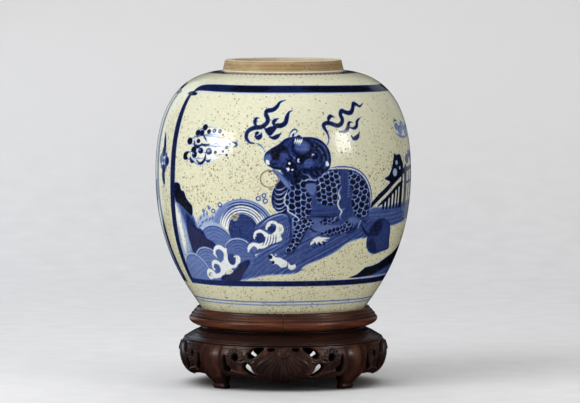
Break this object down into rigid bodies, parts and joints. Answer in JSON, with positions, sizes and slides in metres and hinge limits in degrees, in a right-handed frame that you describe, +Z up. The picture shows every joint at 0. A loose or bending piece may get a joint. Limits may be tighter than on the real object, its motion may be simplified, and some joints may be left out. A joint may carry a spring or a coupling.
{
  "type": "ginger jar on stand",
  "caption": "Globular glazed ginger jar with a short bare neck, standing loose in a round pierced hardwood stand on legs.",
  "frame": {"origin": "on the ground plane under the jar's vertical axis", "axes": "+Z up along the jar's axis, -Y towards the front apron and the jar's main painted panel, +X to the viewer's right"},
  "size_m": [0.2196, 0.2196, 0.278],
  "materials": {
    "glaze": "clear glossy glaze over cobalt painting on a cream body with iron specks; bare brown neck",
    "hardwood": "waxed and polished dark rosewood",
    "inner_wood": "unpolished hidden joinery"
  },
  "bodies": {
    "stand": {"seat_panel": "hardwood", "seat_batten": "inner_wood", "rim_arc_front_right": "hardwood", "rim_arc_back_right": "hardwood", "rim_arc_back_left": "hardwood", "rim_arc_front_left": "hardwood", "rim_spline_front": "inner_wood", "rim_spline_right": "inner_wood", "rim_spline_back": "inner_wood", "rim_spline_left": "inner_wood", "shoulder_arc_front": "hardwood", "shoulder_arc_right": "hardwood", "shoulder_arc_back": "hardwood", "shoulder_arc_left": "hardwood", "leg_front_right": "hardwood", "leg_back_right": "hardwood", "leg_back_left": "hardwood", "leg_front_left": "hardwood", "apron_front": "hardwood", "apron_right": "hardwood", "apron_back": "hardwood", "apron_left": "hardwood"},
    "jar": {"jar_body": "glaze"}
  },
  "joints": [
    {"name": "jar_lift", "type": "slide", "parent": "stand", "child": "jar", "axis": [0, 0, 1], "range_m": [0, 0.04]}
  ]
}
